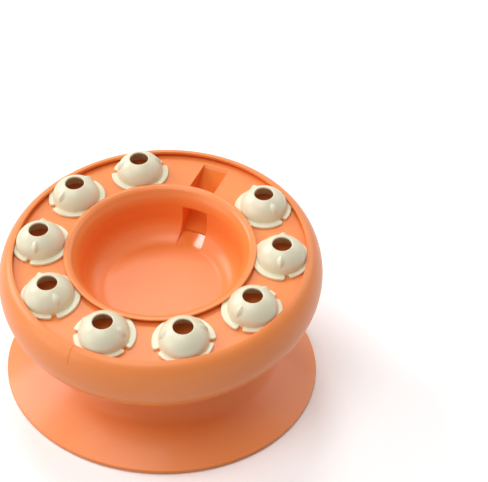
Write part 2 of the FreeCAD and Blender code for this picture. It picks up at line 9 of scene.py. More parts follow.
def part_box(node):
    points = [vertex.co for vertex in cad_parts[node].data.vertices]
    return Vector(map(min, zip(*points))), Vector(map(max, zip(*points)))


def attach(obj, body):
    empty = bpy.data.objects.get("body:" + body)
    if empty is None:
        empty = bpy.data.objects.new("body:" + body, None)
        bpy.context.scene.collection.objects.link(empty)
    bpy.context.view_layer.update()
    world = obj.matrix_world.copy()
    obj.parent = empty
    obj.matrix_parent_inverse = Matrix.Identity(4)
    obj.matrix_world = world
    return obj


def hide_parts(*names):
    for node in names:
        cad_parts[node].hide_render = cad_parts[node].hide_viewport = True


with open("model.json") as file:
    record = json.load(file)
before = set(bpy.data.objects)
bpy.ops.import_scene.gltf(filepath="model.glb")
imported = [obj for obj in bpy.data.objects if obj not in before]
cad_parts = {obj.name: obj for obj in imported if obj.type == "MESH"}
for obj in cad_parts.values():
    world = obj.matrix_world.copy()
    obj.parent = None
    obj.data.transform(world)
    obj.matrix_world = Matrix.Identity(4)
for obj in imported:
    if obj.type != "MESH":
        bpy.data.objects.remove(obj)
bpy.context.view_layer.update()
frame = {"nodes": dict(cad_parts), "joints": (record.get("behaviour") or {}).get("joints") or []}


# Flared foot of the stand: a thin trumpet of coral plastic, open below, with
# ribs and screw bosses moulded in. Its flat top flange takes the collar.
foot_low, foot_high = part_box("base_skirt")
base_r = (foot_high.x - foot_low.x) / 2
foot_z = foot_low.z
waist_z = foot_high.z
edge_height = 0.0037
edge_z = foot_z + edge_height
edge_round = 0.001
edge_wall = 0.005
flare_rise = math.radians(30)
neck_r = 0.099
neck_hole_r = 0.086
wall = 0.0026
plate = 0.003
seam_round = 0.0003
around = 240
arc_step = 0.0008
weld = 1e-6
ring_depth = 0.003
ring_z = foot_z + ring_depth
rib_count = 12
rib_thick = 0.002
rib_depth = 0.008
screw_count = 6
boss_r = 0.004
boss_sides = 32
boss_in = 0.0205
boss_orbit = base_r - boss_in
stand_at = Matrix.Translation((0, (foot_low.y + foot_high.y) / 2, 0))


def run(profile, tip, r, z):
    """Draw a straight run of a profile from its tip to a radius and a height."""
    tip = bmesh.ops.extrude_vert_indiv(profile, verts=[tip])["verts"][0]
    tip.co = (r, 0, z)
    return tip


def sweep(profile, tip, r, z, degrees, steps, tall=1.0):
    """Draw an arc from the tip about a centre. On an oval, tall is its height over its width."""
    about = Matrix.Translation((-r, 0, -z))
    drawn = set(profile.verts)
    bmesh.ops.scale(profile, verts=[tip], vec=(1, 1, 1 / tall), space=about)
    arc = bmesh.ops.spin(profile, geom=[tip], cent=(r, 0, z), axis=(0, -1, 0),
                         angle=math.radians(degrees), steps=steps)
    fresh = [v for v in profile.verts if v not in drawn]
    bmesh.ops.scale(profile, verts=fresh + [tip], vec=(1, 1, tall), space=about)
    return next(v for v in arc["geom_last"] if isinstance(v, bmesh.types.BMVert))


def soften(profile, corner, radius):
    """Round one corner of a profile."""
    one, other = (edge.other_vert(corner).co - corner.co for edge in corner.link_edges)
    steps = max(3, round(radius / arc_step))
    bmesh.ops.bevel(profile, geom=[corner], offset=radius / math.tan(one.angle(other) / 2),
                    offset_type="OFFSET", affect="VERTICES", segments=steps, profile=0.5, material=-1)


def outline(corners, closed=True):
    """A profile through corners (r, z), or rounded ones (r, z, radius)."""
    profile = bmesh.new()
    points = [profile.verts.new((corner[0], 0, corner[1])) for corner in corners]
    for one, other in zip(points, points[1:] + points[:1] if closed else points[1:]):
        profile.edges.new((one, other))
    for point, corner in zip(points, corners):
        if len(corner) > 2:
            soften(profile, point, corner[2])
    return profile


def lathe(profile, steps, start=0.0):
    """Turn a profile once round Z into a skin, with its first column at an azimuth."""
    turned = Matrix.Rotation(start, 3, "Z")
    bmesh.ops.rotate(profile, verts=profile.verts, cent=(0, 0, 0), matrix=turned)
    bmesh.ops.spin(profile, geom=profile.verts[:] + profile.edges[:], cent=(0, 0, 0), axis=(0, 0, 1),
                   angle=math.tau, steps=steps, use_merge=True)
    bmesh.ops.remove_doubles(profile, verts=profile.verts, dist=weld)
    bmesh.ops.recalc_face_normals(profile, faces=profile.faces)
    return profile


def thicken(profile, depth, way):
    """Fill a flat outline and give it a depth, half on each side."""
    face = bmesh.ops.contextual_create(profile, geom=profile.edges[:])["faces"]
    grown = bmesh.ops.extrude_face_region(profile, geom=face)["geom"]
    bmesh.ops.translate(profile, vec=Vector(way) * depth,
                        verts=[v for v in grown if isinstance(v, bmesh.types.BMVert)])
    bmesh.ops.translate(profile, vec=Vector(way) * depth / -2, verts=profile.verts)
    bmesh.ops.recalc_face_normals(profile, faces=profile.faces)
    return profile


def repeat(skin, count, first=0.0):
    """Copy a skin evenly round Z, with the first copy at an azimuth."""
    turned = Matrix.Rotation(first, 3, "Z")
    bmesh.ops.rotate(skin, verts=skin.verts, cent=(0, 0, 0), matrix=turned)
    whole = skin.verts[:] + skin.edges[:] + skin.faces[:]
    bmesh.ops.spin(skin, geom=whole, cent=(0, 0, 0), axis=(0, 0, 1),
                   angle=math.tau * (count - 1) / count, steps=count - 1, use_duplicate=True)
    return skin


def join(skin, other):
    """Take another skin into this one, as parts of one moulding."""
    mesh = bpy.data.meshes.new("joined")
    other.to_mesh(mesh)
    other.free()
    skin.from_mesh(mesh)
    bpy.data.meshes.remove(mesh)
    return skin


def cast(skin, name, body, finish, place, nodes=(), sharp=35):
    """Make a piece of a finished skin. It rides on a body and stands for its nodes."""
    bmesh.ops.transform(skin, matrix=place, verts=skin.verts)
    mesh = bpy.data.meshes.new(name)
    skin.to_mesh(mesh)
    skin.free()
    mesh.shade_smooth()
    mesh.set_sharp_from_angle(angle=math.radians(sharp))
    mesh.materials.append(finish)
    piece = bpy.data.objects.new(name, mesh)
    bpy.context.scene.collection.objects.link(piece)
    shading = piece.modifiers.new("even_shading", "WEIGHTED_NORMAL")
    shading.keep_sharp = True
    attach(piece, body)
    if nodes:
        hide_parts(*nodes)
    return piece


def moulded_finish():
    """Surface of a moulded plastic piece: cloudy tone, spark-eroded grain, smudges."""
    group = bpy.data.node_groups.new("moulded_finish", "ShaderNodeTree")
    for name, kind, start in (("Colour", "NodeSocketColor", (0.8, 0.8, 0.8, 1)),
                              ("Thick Colour", "NodeSocketColor", (0.7, 0.7, 0.7, 1)),
                              ("Gloss", "NodeSocketFloat", 0.35),
                              ("Smudge", "NodeSocketFloat", 0.08)):
        socket = group.interface.new_socket(name, in_out="INPUT", socket_type=kind)
        socket.default_value = start
    for name, kind in (("Colour", "NodeSocketColor"), ("Roughness", "NodeSocketFloat"),
                       ("Grain", "NodeSocketFloat")):
        group.interface.new_socket(name, in_out="OUTPUT", socket_type=kind)
    nodes, links = group.nodes, group.links
    given = nodes.new("NodeGroupInput")
    result = nodes.new("NodeGroupOutput")
    where = nodes.new("ShaderNodeTexCoord")

    clouds = nodes.new("ShaderNodeTexNoise")
    clouds.inputs["Scale"].default_value = 14
    clouds.inputs["Detail"].default_value = 3
    links.new(where.outputs["Object"], clouds.inputs["Vector"])
    thick = nodes.new("ShaderNodeMapRange")
    thick.inputs["From Min"].default_value = 0.35
    thick.inputs["From Max"].default_value = 0.7
    links.new(clouds.outputs["Fac"], thick.inputs["Value"])
    tone = nodes.new("ShaderNodeMix")
    tone.data_type = "RGBA"
    links.new(thick.outputs["Result"], tone.inputs["Factor"])
    links.new(given.outputs["Colour"], tone.inputs["A"])
    links.new(given.outputs["Thick Colour"], tone.inputs["B"])
    links.new(tone.outputs["Result"], result.inputs["Colour"])

    smear = nodes.new("ShaderNodeTexNoise")
    smear.inputs["Scale"].default_value = 46
    smear.inputs["Detail"].default_value = 5
    smear.inputs["Distortion"].default_value = 0.7
    links.new(where.outputs["Object"], smear.inputs["Vector"])
    rubbed = nodes.new("ShaderNodeMath")
    rubbed.operation = "SUBTRACT"
    rubbed.inputs[1].default_value = 0.5
    links.new(smear.outputs["Fac"], rubbed.inputs[0])
    dulled = nodes.new("ShaderNodeMath")
    dulled.operation = "MULTIPLY_ADD"
    links.new(rubbed.outputs["Value"], dulled.inputs[0])
    links.new(given.outputs["Smudge"], dulled.inputs[1])
    links.new(given.outputs["Gloss"], dulled.inputs[2])
    links.new(dulled.outputs["Value"], result.inputs["Roughness"])

    grain = nodes.new("ShaderNodeTexNoise")
    grain.inputs["Scale"].default_value = 2600
    grain.inputs["Detail"].default_value = 1
    links.new(where.outputs["Object"], grain.inputs["Vector"])
    links.new(grain.outputs["Fac"], result.inputs["Grain"])
    return group


moulded = moulded_finish()


def plastic(name, colour, thick_colour, gloss, smudge, grain_depth, glow=0.0):
    """A moulded plastic, with its own colours and gloss in the shared finish."""
    material = bpy.data.materials.new(name)
    material.use_nodes = True
    nodes, links = material.node_tree.nodes, material.node_tree.links
    shader = nodes["Principled BSDF"]
    finish = nodes.new("ShaderNodeGroup")
    finish.name = "finish"
    finish.node_tree = moulded
    finish.inputs["Colour"].default_value = (*colour, 1)
    finish.inputs["Thick Colour"].default_value = (*thick_colour, 1)
    finish.inputs["Gloss"].default_value = gloss
    finish.inputs["Smudge"].default_value = smudge
    bump = nodes.new("ShaderNodeBump")
    bump.name = "grain"
    bump.inputs["Strength"].default_value = 0.4
    bump.inputs["Distance"].default_value = grain_depth
    links.new(finish.outputs["Colour"], shader.inputs["Base Color"])
    links.new(finish.outputs["Roughness"], shader.inputs["Roughness"])
    links.new(finish.outputs["Grain"], bump.inputs["Height"])
    links.new(bump.outputs["Normal"], shader.inputs["Normal"])
    shader.inputs["IOR"].default_value = 1.5
    shader.inputs["Coat Weight"].default_value = 0.15
    shader.inputs["Coat Roughness"].default_value = 0.15
    shader.inputs["Subsurface Weight"].default_value = glow
    shader.inputs["Subsurface Radius"].default_value = (1.0, 0.45, 0.25)
    shader.inputs["Subsurface Scale"].default_value = 0.003
    return material


coral_tone = (0.96, 0.280, 0.062)
coral_thick = (0.94, 0.262, 0.054)
coral = plastic("coral_plastic", coral_tone, coral_thick, gloss=0.40, smudge=0.10, grain_depth=0.00004)


def flare(profile, tip, depth, top_z, out_r):
    """Draw the trumpet's curve outwards from the waist, drawn in by a depth."""
    out_z = edge_z - depth / math.cos(flare_rise)
    knee_z = out_z + (base_r - neck_r + depth) * math.tan(flare_rise)
    turn = math.pi / 2 - flare_rise
    bend = (top_z - knee_z) / math.tan(turn / 2)
    tip = sweep(profile, tip, neck_r - depth + bend, top_z, math.degrees(turn), steps=24)
    return run(profile, tip, out_r, out_z + (base_r - out_r) * math.tan(flare_rise))


trumpet = bmesh.new()
neck = trumpet.verts.new((neck_r, 0, waist_z))
edge_top = flare(trumpet, neck, 0, waist_z, base_r)
edge_foot = run(trumpet, edge_top, base_r, foot_z)
edge_in = run(trumpet, edge_foot, base_r - edge_wall, foot_z)
neck_in = trumpet.verts.new((neck_r - wall, 0, waist_z - plate))
root = flare(trumpet, neck_in, wall, waist_z - plate, base_r - edge_wall)
trumpet.edges.new((root, edge_in))
hole_low = run(trumpet, neck_in, neck_hole_r, waist_z - plate)
hole_high = run(trumpet, hole_low, neck_hole_r, waist_z)
trumpet.edges.new((hole_high, neck))
soften(trumpet, edge_top, edge_round)
soften(trumpet, edge_foot, edge_round)
soften(trumpet, neck, seam_round)
lathe(trumpet, around)

rib = bmesh.new()
high = rib.verts.new((neck_r - wall / 2, 0, waist_z - plate))
low = flare(rib, high, wall / 2, waist_z - plate, base_r - edge_wall)
heel = run(rib, low, base_r - edge_wall, ring_z)
high_in = rib.verts.new((neck_r - wall - rib_depth, 0, waist_z - plate))
reach = (ring_z - edge_z) / math.tan(flare_rise) + (wall + rib_depth) / math.sin(flare_rise)
toe = flare(rib, high_in, wall + rib_depth, waist_z - plate, base_r - reach)
rib.edges.new((high, high_in))
rib.edges.new((heel, toe))
join(trumpet, repeat(thicken(rib, rib_thick, (0, 1, 0)), rib_count, math.pi / rib_count))

boss_z = edge_z - wall / 2 / math.cos(flare_rise) + (base_r - boss_orbit) * math.tan(flare_rise)
boss = bmesh.new()
bmesh.ops.create_cone(boss, cap_ends=True, segments=boss_sides, radius1=boss_r, radius2=boss_r,
                      depth=boss_z - ring_z)
bmesh.ops.translate(boss, vec=(0, 0, (boss_z + ring_z) / 2), verts=boss.verts)
slope = Matrix.Identity(4)
slope[2][0] = -math.tan(flare_rise)
bmesh.ops.transform(boss, matrix=slope, verts=[v for v in boss.verts if v.co.z > boss_z - plate])
bmesh.ops.translate(boss, vec=(boss_orbit, 0, 0), verts=boss.verts)
join(trumpet, repeat(boss, screw_count))
cast(trumpet, "foot_flare", "feeder", coral, stand_at, ["base_skirt"])


# Flat ring that closes the foot from below, moulded in the same coral plastic.
# It drops inside the foot's edge and six screws hold it.
def refinish(name, finish):
    """Give a carried-over node its finish."""
    node = frame["nodes"][name]
    node.data.materials.clear()
    node.data.materials.append(finish)


refinish("base_ring", coral)


# Six soft feet of pale thermoplastic rubber, dull and slightly dusty. Each is
# pulled through the ring by its barbed stem.
foot_count = 6
rubber = plastic("foot_rubber", (0.60, 0.57, 0.52), (0.50, 0.47, 0.42), gloss=0.75, smudge=0.12,
                 grain_depth=0.00006)
for number in range(1, foot_count + 1):
    refinish("foot_%d" % number, rubber)


# Wedge collar between the stand and the tray, a coral moulding with a flange
# at each end. Its sloping top gives the tray its lean.
slide = next(joint for joint in frame["joints"] if joint["name"] == "dome_1_slide")
tray_up = Vector(slide["axis"])
lean = math.atan2(-tray_up.y, tray_up.z)
tray_at = Matrix.Translation(slide["pos_m"]) @ Matrix.Rotation(lean, 4, "X")
tray_depth = 0.0704
tray_foot = tray_at @ Vector((0, 0, -tray_depth))
collar_top = tray_foot.z + (stand_at.translation.y - tray_foot.y) * math.tan(lean)
collar_flange = 0.025
collar_in_r = neck_r - collar_flange
collar = lathe(outline([
    (neck_hole_r, waist_z),
    (neck_r, waist_z, seam_round),
    (neck_r, collar_top, seam_round),
    (collar_in_r, collar_top),
    (collar_in_r, collar_top - plate),
    (neck_r - wall, collar_top - plate),
    (neck_r - wall, waist_z + plate),
    (neck_hole_r, waist_z + plate),
]), around)
wedge = Matrix.Identity(4)
wedge[2][1] = math.tan(lean)
bmesh.ops.transform(collar, matrix=wedge, verts=[v for v in collar.verts if v.co.z > waist_z + 2 * plate])
cast(collar, "neck_collar", "feeder", coral, stand_at, ["tilt_collar"])


# Lower half of the tray, a coral moulding with rests for the floor and the
# bowl inside. Screws in six deep wells hold it to the upper half.
belly = bmesh.new()
belly.from_mesh(frame["nodes"]["under_shell"].data)
bmesh.ops.remove_doubles(belly, verts=belly.verts, dist=weld)
cast(belly, "tray_belly", "feeder", coral, Matrix.Identity(4), ["under_shell"], sharp=30)


# Annular floor of the track with its slot, a coral moulding that stands in the
# tray on a round skirt. Sliding domes have scuffed it in circles.
lip_r = 0.1345
track_z = -0.006
deck_low_z = -0.0084
deck_in_r = 0.0821
deck_out_r = 0.1405
skirt_out_r = 0.1154
skirt_in_r = 0.1130
skirt_low_z = -0.058
slot_half = 0.013
slot_start = 0.0860
slot_end = 0.12805
slot_slant = 0.00286
clear = 0.002


def combine(skin, tool, how="DIFFERENCE"):
    """Cut another skin's room out of this one, or make one solid of the two."""
    pair = []
    for part in (skin, tool):
        mesh = bpy.data.meshes.new("part")
        part.to_mesh(mesh)
        part.free()
        pair.append(bpy.data.objects.new("part", mesh))
        bpy.context.scene.collection.objects.link(pair[-1])
    cut = pair[0].modifiers.new("cut", "BOOLEAN")
    cut.operation = how
    cut.object = pair[1]
    result = bmesh.new()
    result.from_object(pair[0], bpy.context.evaluated_depsgraph_get())
    for part in pair:
        mesh = part.data
        bpy.data.objects.remove(part)
        bpy.data.meshes.remove(mesh)
    bmesh.ops.remove_doubles(result, verts=result.verts, dist=weld)
    bmesh.ops.dissolve_degenerate(result, edges=result.edges, dist=weld)
    return result


def side_block(corners, half_width):
    """A block with a side outline of (y, z) corners, as wide as it is across X."""
    block = bmesh.new()
    points = [block.verts.new((0, y, z)) for y, z in corners]
    for one, other in zip(points, points[1:] + points[:1]):
        block.edges.new((one, other))
    return thicken(block, 2 * half_width, (1, 0, 0))


deck = lathe(outline([
    (deck_in_r, track_z),
    (deck_out_r, track_z),
    (deck_out_r, deck_low_z),
    (skirt_out_r, deck_low_z),
    (skirt_out_r, skirt_low_z),
    (skirt_in_r, skirt_low_z),
    (skirt_in_r, deck_low_z),
    (deck_in_r, deck_low_z),
]), around)
slant = slot_slant / (track_z - deck_low_z)
deck = combine(deck, side_block([
    (slot_start, track_z + clear),
    (slot_end + clear * slant, track_z + clear),
    (slot_end - slot_slant - clear * slant, deck_low_z - clear),
    (slot_start, deck_low_z - clear),
], slot_half))
arch_half = 0.027
arch_low_z = -0.0242
arch_depth = 0.01
arch_in_r = skirt_in_r - arch_depth
deck = combine(deck, side_block([
    (arch_in_r, deck_low_z), (skirt_out_r + clear, deck_low_z),
    (skirt_out_r + clear, arch_low_z), (arch_in_r, arch_low_z),
], arch_half))

scuffed = plastic("scuffed_coral_plastic", coral_tone, coral_thick, gloss=0.40, smudge=0.10,
                  grain_depth=0.00004)
nodes, links = scuffed.node_tree.nodes, scuffed.node_tree.links
where = nodes.new("ShaderNodeTexCoord")
in_tray = nodes.new("ShaderNodeMapping")
in_tray.vector_type = "TEXTURE"
in_tray.inputs["Location"].default_value = tray_at.translation
in_tray.inputs["Rotation"].default_value = (lean, 0, 0)
links.new(where.outputs["Object"], in_tray.inputs["Vector"])
scuffs = nodes.new("ShaderNodeTexWave")
scuffs.wave_type = "RINGS"
scuffs.rings_direction = "Z"
scuffs.inputs["Scale"].default_value = 260
scuffs.inputs["Distortion"].default_value = 14
scuffs.inputs["Detail"].default_value = 4
scuffs.inputs["Detail Scale"].default_value = 0.12
links.new(in_tray.outputs["Vector"], scuffs.inputs["Vector"])
faint = nodes.new("ShaderNodeMath")
faint.operation = "MULTIPLY_ADD"
faint.inputs[1].default_value = 0.10
links.new(scuffs.outputs["Fac"], faint.inputs[0])
links.new(nodes["finish"].outputs["Roughness"], faint.inputs[2])
links.new(faint.outputs["Value"], nodes["Principled BSDF"].inputs["Roughness"])
cast(deck, "track_floor", "feeder", scuffed, tray_at, ["track_deck"])


# Trough under the slot, a matt coral moulding whose ramp leads down to the
# bowl's window. Four screws hold it under the track. Its colour is a darker,
# redder copy of the coral: painted shade for the ramp seen through the window.
shaded_matt_coral = plastic("matt_coral_painted_shade", (0.96, 0.262, 0.050), (0.94, 0.246, 0.045), gloss=0.55, smudge=0.10,
               grain_depth=0.00004)
for name in ("Coat Weight", "Specular IOR Level"):
    shaded_matt_coral.node_tree.nodes["Principled BSDF"].inputs[name].default_value = 0
refinish("chute", shaded_matt_coral)


# Upper half of the tray, a coral moulding: a soft rounded rim, undercut so
# that it holds the domes down, and a barrel wall with a fine closing seam.
crown_wide = 0.0155
crown_tall = 0.0285
belly_r = 0.104
belly_wide = 0.046
belly_tall = 0.0419
parting_z = -0.058
lip_round = 0.0008
lip_depth = 0.0028
groove_r = 0.1386
seam_azimuth = math.radians(263)
seam_low_z = -0.014
seam_half = 0.00025
seam_deep = 0.0004
rim_around = 360

lip_dip = crown_tall * (1 - math.sqrt(1 - (lip_round / crown_wide) ** 2))
lip_turn = math.degrees(math.acos(lip_round / crown_wide))
part_turn = math.degrees(math.asin((-parting_z - crown_tall) / belly_tall))
part_turn_in = math.degrees(math.asin((-parting_z - crown_tall) / (belly_tall - wall)))
deck_turn = math.degrees(math.asin((crown_tall + track_z) / (crown_tall - wall)))

rim = bmesh.new()
under_lip = rim.verts.new((lip_r, 0, -lip_depth))
tip = run(rim, under_lip, lip_r, -lip_dip - lip_round)
tip = sweep(rim, tip, lip_r + lip_round, -lip_dip - lip_round, -90, steps=6)
tip = sweep(rim, tip, lip_r, -crown_tall, -lip_turn, steps=32, tall=crown_tall / crown_wide)
tip = sweep(rim, tip, belly_r, -crown_tall, -part_turn, steps=24, tall=belly_tall / belly_wide)
parting_in_r = belly_r + (belly_wide - wall) * math.cos(math.radians(part_turn_in))
tip = run(rim, tip, parting_in_r, parting_z)
tip = sweep(rim, tip, belly_r, -crown_tall, part_turn_in, steps=16,
            tall=(belly_tall - wall) / (belly_wide - wall))
tip = sweep(rim, tip, lip_r, -crown_tall, deck_turn, steps=16,
            tall=(crown_tall - wall) / (crown_wide - wall))
tip = run(rim, tip, groove_r, track_z)
tip = run(rim, tip, groove_r, -lip_depth)
rim.edges.new((tip, under_lip))
lathe(rim, rim_around, seam_azimuth)

seam_out = Matrix.Rotation(seam_azimuth, 3, "Z") @ Vector((1, 0, 0))
seam_side = seam_out.cross(Vector((0, 0, 1)))
seam = [edge for edge in rim.edges
        if all(abs(v.co.dot(seam_side)) < weld and v.co.dot(seam_out) > lip_r + lip_round / 2
               and seam_low_z < v.co.z for v in edge.verts)
        and edge.link_faces[0].normal.dot(seam_out) > 0 and edge.link_faces[0].normal.z > 0]
opened = bmesh.ops.bevel(rim, geom=seam, offset=seam_half, offset_type="OFFSET", affect="EDGES",
                         segments=2, profile=0.5, material=-1)
rim.normal_update()
for v in opened["verts"]:
    if abs(v.co.dot(seam_side)) < weld:
        v.co -= v.normal * seam_deep
cast(rim, "tray_rim", "feeder", coral, tray_at, ["rim_shell"])


# Lift-out bowl, a coral moulding whose overhanging rim holds the domes'
# flanges down. The ramp's last stretch is a polished facet below its window.
bowl_rim_r = 0.0886
rim_top_z = -0.0007
rim_low_z = -0.0027
rim_round = 0.0009
seat_r = 0.0831
spigot_r = 0.08185
crest_r = 0.0830
crest_round = 0.006
shoulder_r = 0.0759
shoulder_z = -0.0115
shoulder_out_r = 0.07807
shoulder_out_z = -0.0122
shoulder_round = 0.020
foot_round = 0.022
bowl_floor_z = -0.0515
wall_foot_r = 0.0739
bowl_wall = 0.0022
bowl_under_z = bowl_floor_z - bowl_wall
bowl_around = 288
window_top_z = -0.018
doorway_start = wall_foot_r - foot_round - bowl_wall
facet_tip = 0.0534
facet_rise = 0.0018
facet_run = wall_foot_r - facet_tip
window_end = bowl_rim_r
sill_z = bowl_floor_z + facet_rise * (window_end - facet_tip) / facet_run

bowl = lathe(outline([
    (0, bowl_floor_z),
    (wall_foot_r, bowl_floor_z, foot_round),
    (shoulder_r, shoulder_z, shoulder_round),
    (crest_r, rim_top_z, crest_round),
    (bowl_rim_r, rim_top_z, rim_round),
    (bowl_rim_r, rim_low_z, rim_round),
    (seat_r, rim_low_z),
    (seat_r, track_z),
    (spigot_r, track_z),
    (shoulder_out_r, shoulder_out_z, shoulder_round - bowl_wall),
    (wall_foot_r + bowl_wall, bowl_under_z, foot_round + bowl_wall),
    (0, bowl_under_z),
], closed=False), bowl_around)
skin_gap = bowl_wall / 8
doorway = combine(side_block([
    (doorway_start, bowl_under_z), (window_end, bowl_under_z),
    (window_end, window_top_z + bowl_wall), (doorway_start, window_top_z + bowl_wall),
], slot_half + bowl_wall), lathe(outline([
    (0, bowl_floor_z - skin_gap),
    (wall_foot_r + skin_gap, bowl_floor_z - skin_gap, foot_round + skin_gap),
    (shoulder_r + skin_gap, shoulder_z),
    (shoulder_out_r - skin_gap, shoulder_out_z),
    (wall_foot_r + bowl_wall - skin_gap, bowl_under_z + skin_gap),
    (0, bowl_under_z + skin_gap),
], closed=False), bowl_around), "INTERSECT")
bowl = combine(bowl, doorway, "UNION")
bowl = combine(bowl, side_block([
    (doorway_start, window_top_z), (window_end, window_top_z), (window_end, sill_z),
    (facet_tip, bowl_floor_z), (doorway_start, bowl_floor_z + bowl_wall / 4),
], slot_half))
polished = plastic("polished_coral_plastic", coral_tone, coral_thick, gloss=0.14, smudge=0.05,
                   grain_depth=0.00001)
shader = polished.node_tree.nodes["Principled BSDF"]
shader.inputs["Coat Weight"].default_value = 0.4
shader.inputs["Coat Roughness"].default_value = 0.10
facet_up = Vector((0, -facet_rise, facet_run)).normalized()
facet_likeness = 0.9999
for face in bowl.faces:
    middle = face.calc_center_median()
    in_ramp = middle.y > facet_tip and abs(middle.x) < slot_half and middle.z < sill_z
    if in_ramp and face.normal.dot(facet_up) > facet_likeness:
        face.material_index = 1
food_bowl = cast(bowl, "food_bowl", "bowl", coral, tray_at, ["bowl"])
food_bowl.data.materials.append(polished)


# Nine hollow domes of ivory plastic that slide round the track. Each has a
# round hole, two grips on its flanks and a flange with two notches.
dome_count = 9
dome_around = 180
dome_orbit = 0.11155
dome_r = 0.02255
dome_wall = 0.002
dome_low_z = 0.0003
flange_z = 0.0027
dome_top_z = 0.0202
hole_r = 0.0089
hole_round = 0.0008
flange_out_r = 0.02655
flange_in_r = 0.0279
flange_root_r = 0.0224
flange_round = 0.0010
flange_end_round = 0.0024
flange_hair = 0.00002
notch_start = math.radians(70.5)
notch_end = math.radians(79.5)
grip_z = 0.0142
grip_proud = 0.0022
grip_half_width = 0.0037
grip_half_length = 0.0062
grip_crest = 0.12
grip_patch_in = 0.012
grip_patch_half = 0.0045
station_step = math.radians(36)
slot_azimuth = math.radians(90)

ivory = plastic("ivory_plastic", (0.86, 0.81, 0.60), (0.83, 0.77, 0.55), gloss=0.33, smudge=0.08,
                grain_depth=0.00003, glow=0.15)

crown = (dome_top_z - flange_z) / math.sqrt(1 - (hole_r / dome_r) ** 2)
hole_turn = math.degrees(math.acos((hole_r + hole_round) / dome_r))
inner_r = dome_r - dome_wall
inner_crown = crown - dome_wall
inner_turn = math.degrees(math.acos(hole_r / inner_r))

dome = bmesh.new()
foot_out = dome.verts.new((dome_r, 0, dome_low_z))
tip = run(dome, foot_out, dome_r, flange_z)
tip = sweep(dome, tip, 0, flange_z, hole_turn, steps=32, tall=crown / dome_r)
tip = sweep(dome, tip, hole_r + hole_round, tip.co.z - hole_round, 90, steps=5)
tip = run(dome, tip, hole_r, flange_z + inner_crown * math.sin(math.radians(inner_turn)))
tip = sweep(dome, tip, 0, flange_z, -inner_turn, steps=16, tall=inner_crown / inner_r)
tip = run(dome, tip, inner_r, dome_low_z)
dome.edges.new((tip, foot_out))
lathe(dome, dome_around)


def flange_stretch(start, end, reach_r):
    """One stretch of the flange between two azimuths, with round ends and a soft brow."""
    span = end - start
    round_r = reach_r - flange_end_round
    round_turn = math.asin(flange_end_round / round_r)
    round_degrees = 90 + math.degrees(round_turn)
    far_turn = span - round_turn
    stretch = bmesh.new()
    root = stretch.verts.new((flange_root_r, 0, 0))
    tip = run(stretch, root, round_r * math.cos(round_turn), 0)
    tip = sweep(stretch, tip, round_r * math.cos(round_turn), round_r * math.sin(round_turn),
                round_degrees, steps=8)
    tip = sweep(stretch, tip, 0, 0, math.degrees(span - 2 * round_turn), steps=60)
    tip = sweep(stretch, tip, round_r * math.cos(far_turn), round_r * math.sin(far_turn),
                round_degrees, steps=8)
    tip = run(stretch, tip, flange_root_r * math.cos(span), flange_root_r * math.sin(span))
    sweep(stretch, tip, 0, 0, -math.degrees(span), steps=6)
    bmesh.ops.remove_doubles(stretch, verts=stretch.verts, dist=weld)
    lay_flat = Matrix.Rotation(start, 3, "Z") @ Matrix.Rotation(-math.pi / 2, 3, "X")
    bmesh.ops.rotate(stretch, verts=stretch.verts, cent=(0, 0, 0), matrix=lay_flat)
    thicken(stretch, flange_z - dome_low_z - 2 * flange_hair, (0, 0, 1))
    brow = [edge for edge in stretch.edges if all(v.co.z > 0 for v in edge.verts)
            and max(v.co.xy.length for v in edge.verts) > dome_r]
    bmesh.ops.bevel(stretch, geom=brow, offset=flange_round, offset_type="OFFSET", affect="EDGES",
                    segments=4, profile=0.5, material=-1)
    bmesh.ops.translate(stretch, verts=stretch.verts, vec=(0, 0, (flange_z + dome_low_z) / 2))
    return stretch


dome = combine(dome, flange_stretch(-notch_start, notch_start, flange_out_r), "UNION")
dome = combine(dome, flange_stretch(notch_end, math.tau - notch_end, flange_in_r), "UNION")

grip_lift = (grip_z - flange_z) / crown
flank_r = dome_r * math.sqrt(1 - grip_lift ** 2)
flank_slope = math.atan2(dome_r * grip_lift, crown * math.sqrt(1 - grip_lift ** 2))
flank_up = Vector((-math.sin(flank_slope), math.cos(flank_slope)))
for side in (-1, 1):
    near = []
    for face in dome.faces:
        middle = face.calc_center_median()
        beside = side * middle.y > flank_r - grip_patch_in and abs(middle.x) < grip_patch_half
        if beside and middle.z > flange_z and face.normal.y * side > 0:
            near.append(face)
    cuts = bmesh.ops.subdivide_edges(dome, edges=list({edge for face in near for edge in face.edges}),
                                     cuts=2, use_grid_fill=True)
    for v in {v for v in cuts["geom_inner"] if isinstance(v, bmesh.types.BMVert)}:
        off = math.hypot(v.co.xy.length / dome_r, (v.co.z - flange_z) / crown)
        v.co = Vector((v.co.x / off, v.co.y / off, flange_z + (v.co.z - flange_z) / off))
    proud = Vector((0, side * math.cos(flank_slope), math.sin(flank_slope)))
    dome.normal_update()
    for v in dome.verts:
        if v.co.y * side < inner_r / 3 or v.normal.y * side < 0:
            continue
        up = (Vector((abs(v.co.y), v.co.z)) - Vector((flank_r, grip_z))).dot(flank_up)
        taper = 1 - (up / grip_half_length) ** 2
        if taper > 0 and abs(v.co.x) < grip_half_width * taper:
            fall = math.hypot(v.co.x / (grip_half_width * taper), grip_crest)
            v.co += proud * grip_proud * taper * max(0, math.hypot(1, grip_crest) - fall)
bmesh.ops.recalc_face_normals(dome, faces=dome.faces)

for number in range(1, dome_count + 1):
    name = "dome_%d" % number
    station = Matrix.Rotation(slot_azimuth + station_step * number, 4, "Z")
    place = tray_at @ station @ Matrix.Translation((dome_orbit, 0, track_z))
    cast(dome.copy(), "sliding_" + name, name, ivory, place, [name])
dome.free()


